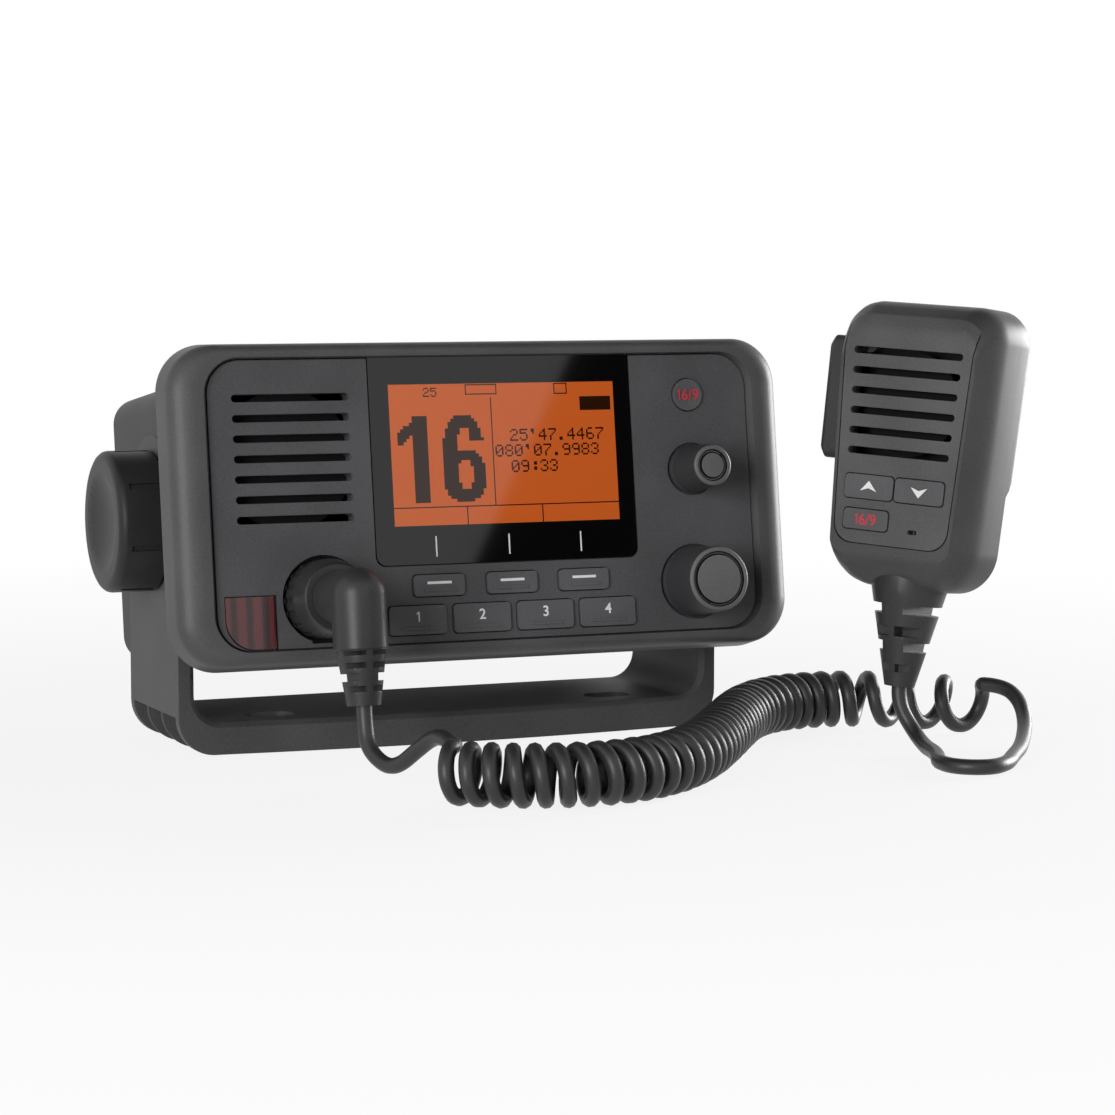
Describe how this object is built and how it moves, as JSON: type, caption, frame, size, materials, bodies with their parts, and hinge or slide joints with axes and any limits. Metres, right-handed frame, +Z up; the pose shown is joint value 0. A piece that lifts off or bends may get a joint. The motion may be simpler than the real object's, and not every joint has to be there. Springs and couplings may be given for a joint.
{
  "type": "marine vhf radio",
  "caption": "Marine VHF radio: wide head with amber display, keys and knobs, tilting in a U bracket, and a fist microphone on a curly cord.",
  "frame": {"origin": "middle of the bracket's underside, on the surface that it stands on", "axes": "+X to the radio's right as its face is read from the front, +Y to its back, +Z up"},
  "size_m": [0.2583, 0.2401, 0.1301],
  "materials": {
    "bracket_plastic": "fine moulded grain, satin",
    "knob_plastic": "fine grain, satin face",
    "steel_stud": "rolled thread",
    "washer_nylon": "smooth",
    "insert_brass": "turned",
    "bezel_plastic": "satin, soft edges",
    "panel_plastic": "fine moulded grain",
    "window_glass": "clear window with a black surround",
    "display": "amber liquid crystal display, lit",
    "backlight": "white light guide",
    "key_rubber": "satin silicone, moulded numbers",
    "control_plastic": "satin",
    "shaft_steel": "turned",
    "component_grey": "moulded",
    "cover_red": "smoked red, clear",
    "button_red": "gloss",
    "pin_steel": "drawn",
    "socket_plastic": "moulded",
    "plug_rubber": "soft sheen",
    "gasket_rubber": "smooth",
    "case_metal": "fine black texture",
    "screw_steel": "pan head",
    "board_green": "solder mask",
    "speaker_metal": "satin",
    "membrane_fabric": "fine woven mesh",
    "shield_steel": "tinned",
    "jack_metal": "nickel plated",
    "gland_rubber": "smooth",
    "mic_plastic": "satin",
    "mic_panel_plastic": "fine grain",
    "ptt_rubber": "soft sheen",
    "cord_pvc": "soft sheen"
  },
  "bodies": {
    "bracket": {"bracket": "bracket_plastic", "cord_coil": "cord_pvc", "cord_lead": "cord_pvc", "cord_tail": "cord_pvc"},
    "head": {"pivot_washers": "washer_nylon", "pivot_inserts": "insert_brass", "front_bezel": "bezel_plastic", "face_panel": "panel_plastic", "window_glass": "window_glass", "lcd_panel": "display", "lcd_backlight": "backlight", "volume_encoder": "component_grey", "select_encoder": "component_grey", "distress_hinge_pin": "pin_steel", "mic_socket": "socket_plastic", "plug_body": "plug_rubber", "plug_boot": "plug_rubber", "front_gasket": "gasket_rubber", "rear_chassis": "case_metal", "case_screws": "screw_steel", "front_board": "board_green", "speaker": "speaker_metal", "speaker_membrane": "membrane_fabric", "main_board": "board_green", "rf_shield": "shield_steel", "antenna_jack": "jack_metal", "power_gland": "gland_rubber", "data_gland": "gland_rubber"},
    "left_clamp": {"knob_left": "knob_plastic", "stud_left": "steel_stud"},
    "right_clamp": {"knob_right": "knob_plastic", "stud_right": "steel_stud"},
    "soft_key_1": {"soft_key_1": "key_rubber"},
    "soft_key_2": {"soft_key_2": "key_rubber"},
    "soft_key_3": {"soft_key_3": "key_rubber"},
    "function_key_1": {"function_key_1": "key_rubber"},
    "function_key_2": {"function_key_2": "key_rubber"},
    "function_key_3": {"function_key_3": "key_rubber"},
    "function_key_4": {"function_key_4": "key_rubber"},
    "power_key": {"power_key": "key_rubber"},
    "distress_button": {"distress_button": "button_red"},
    "volume_shaft": {"volume_shaft": "shaft_steel"},
    "volume_knob": {"volume_knob": "control_plastic"},
    "select_shaft": {"select_shaft": "shaft_steel"},
    "select_knob": {"select_knob": "control_plastic"},
    "distress_cover": {"distress_cover": "cover_red"},
    "plug_collar": {"plug_collar": "plug_rubber"},
    "microphone": {"mic_front_shell": "mic_plastic", "mic_rear_shell": "mic_plastic", "mic_face_panel": "mic_panel_plastic", "mic_hang_stud": "mic_plastic", "mic_screws": "screw_steel", "mic_board": "board_green", "mic_speaker": "speaker_metal", "mic_capsule": "component_grey", "mic_boot": "plug_rubber"},
    "mic_up_key": {"mic_up_key": "key_rubber"},
    "mic_down_key": {"mic_down_key": "key_rubber"},
    "mic_channel_key": {"mic_channel_key": "key_rubber"},
    "mic_ptt_button": {"mic_ptt_button": "ptt_rubber"}
  },
  "joints": [
    {"name": "head_tilt", "type": "hinge", "parent": "bracket", "child": "head", "pos_m": [0, 0, 0.0664], "axis": [-1, 0, 0], "range_deg": [-7.7, 12.3], "deforming": ["cord_lead"]},
    {"name": "left_clamp_turn", "type": "hinge", "parent": "head", "child": "left_clamp", "pos_m": [-0.0953, 0, 0.0664], "axis": [-1, 0, 0], "continuous": true},
    {"name": "right_clamp_turn", "type": "hinge", "parent": "head", "child": "right_clamp", "pos_m": [0.0953, 0, 0.0664], "axis": [1, 0, 0], "continuous": true},
    {"name": "soft_key_1_press", "type": "slide", "parent": "head", "child": "soft_key_1", "axis": [0, 0.991, -0.134], "range_m": [0, 0.0006], "stiffness_N_per_m": 400, "springref_m": -0.0003},
    {"name": "soft_key_2_press", "type": "slide", "parent": "head", "child": "soft_key_2", "axis": [0, 0.991, -0.134], "range_m": [0, 0.0006], "stiffness_N_per_m": 400, "springref_m": -0.0003},
    {"name": "soft_key_3_press", "type": "slide", "parent": "head", "child": "soft_key_3", "axis": [0, 0.991, -0.134], "range_m": [0, 0.0006], "stiffness_N_per_m": 400, "springref_m": -0.0003},
    {"name": "function_key_1_press", "type": "slide", "parent": "head", "child": "function_key_1", "axis": [0, 0.991, -0.134], "range_m": [0, 0.0006], "stiffness_N_per_m": 400, "springref_m": -0.0003},
    {"name": "function_key_2_press", "type": "slide", "parent": "head", "child": "function_key_2", "axis": [0, 0.991, -0.134], "range_m": [0, 0.0006], "stiffness_N_per_m": 400, "springref_m": -0.0003},
    {"name": "function_key_3_press", "type": "slide", "parent": "head", "child": "function_key_3", "axis": [0, 0.991, -0.134], "range_m": [0, 0.0006], "stiffness_N_per_m": 400, "springref_m": -0.0003},
    {"name": "function_key_4_press", "type": "slide", "parent": "head", "child": "function_key_4", "axis": [0, 0.991, -0.134], "range_m": [0, 0.0006], "stiffness_N_per_m": 400, "springref_m": -0.0003},
    {"name": "power_key_press", "type": "slide", "parent": "head", "child": "power_key", "axis": [0, 0.991, -0.134], "range_m": [0, 0.0006], "stiffness_N_per_m": 400, "springref_m": -0.0003},
    {"name": "distress_button_press", "type": "slide", "parent": "head", "child": "distress_button", "axis": [0, 0.991, -0.134], "range_m": [0, 0.0008], "stiffness_N_per_m": 400, "springref_m": -0.0003},
    {"name": "volume_push", "type": "slide", "parent": "head", "child": "volume_shaft", "axis": [0, 0.991, -0.134], "range_m": [0, 0.0005], "stiffness_N_per_m": 800, "springref_m": -0.0003},
    {"name": "volume_turn", "type": "hinge", "parent": "volume_shaft", "child": "volume_knob", "pos_m": [0.0645, -0.0562, 0.08137], "axis": [0, -0.991, 0.134], "continuous": true},
    {"name": "select_push", "type": "slide", "parent": "head", "child": "select_shaft", "axis": [0, 0.991, -0.134], "range_m": [0, 0.0005], "stiffness_N_per_m": 800, "springref_m": -0.0003},
    {"name": "select_turn", "type": "hinge", "parent": "select_shaft", "child": "select_knob", "pos_m": [0.0637, -0.06065, 0.04847], "axis": [0, -0.991, 0.134], "continuous": true},
    {"name": "distress_cover_open", "type": "hinge", "parent": "head", "child": "distress_cover", "pos_m": [-0.0669, -0.05557, 0.04122], "axis": [0, 0.134, 0.991], "range_deg": [0, 100], "stiffness_Nm_per_rad": 0.0008, "springref_deg": -8.59},
    {"name": "plug_collar_turn", "type": "hinge", "parent": "head", "child": "plug_collar", "pos_m": [-0.0517, -0.05973, 0.04784], "axis": [0, -0.991, 0.134], "continuous": true},
    {"name": "microphone_lift", "type": "slide", "parent": "bracket", "child": "microphone", "axis": [0, 0, 1], "range_m": [0, 0.12], "deforming": ["cord_tail"]},
    {"name": "mic_up_key_press", "type": "slide", "parent": "microphone", "child": "mic_up_key", "axis": [0.8507, 0.5172, -0.0941], "range_m": [0, 0.0005], "stiffness_N_per_m": 300, "springref_m": -0.0003},
    {"name": "mic_down_key_press", "type": "slide", "parent": "microphone", "child": "mic_down_key", "axis": [0.8507, 0.5172, -0.0941], "range_m": [0, 0.0005], "stiffness_N_per_m": 300, "springref_m": -0.0003},
    {"name": "mic_channel_key_press", "type": "slide", "parent": "microphone", "child": "mic_channel_key", "axis": [0.8507, 0.5172, -0.0941], "range_m": [0, 0.0005], "stiffness_N_per_m": 300, "springref_m": -0.0003},
    {"name": "mic_ptt_press", "type": "slide", "parent": "microphone", "child": "mic_ptt_button", "axis": [0.5144, -0.8559, -0.0538], "range_m": [0, 0.0015], "stiffness_N_per_m": 700, "springref_m": -0.001}
  ]
}
